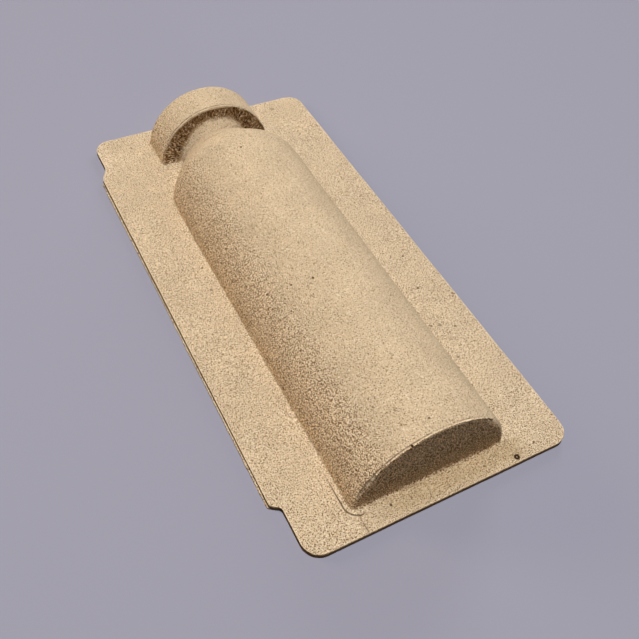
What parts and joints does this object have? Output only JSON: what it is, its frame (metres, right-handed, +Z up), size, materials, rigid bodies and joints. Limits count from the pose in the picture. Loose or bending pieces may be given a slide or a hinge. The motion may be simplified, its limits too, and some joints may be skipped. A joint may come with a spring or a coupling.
{
  "type": "moulded pulp bottle insert",
  "caption": "Moulded pulp half shell with a flat flange, shaped over a lying bottle's body, shoulder, neck and cap, for packing the bottle in a shipping box.",
  "frame": {"origin": "middle of the flange's underside, which is the bottom centre of the bounding box", "axes": "+Y along the bottle's axis from its base to its cap, +Z up from the flange to the top of the shell, +X towards the plain long edge; the bottle's axis lies in z = 0"},
  "size_m": [0.142, 0.2888, 0.04],
  "materials": {
    "pulp": "matte"
  },
  "bodies": {
    "root": {"bottle_insert": "pulp"}
  },
  "joints": []
}
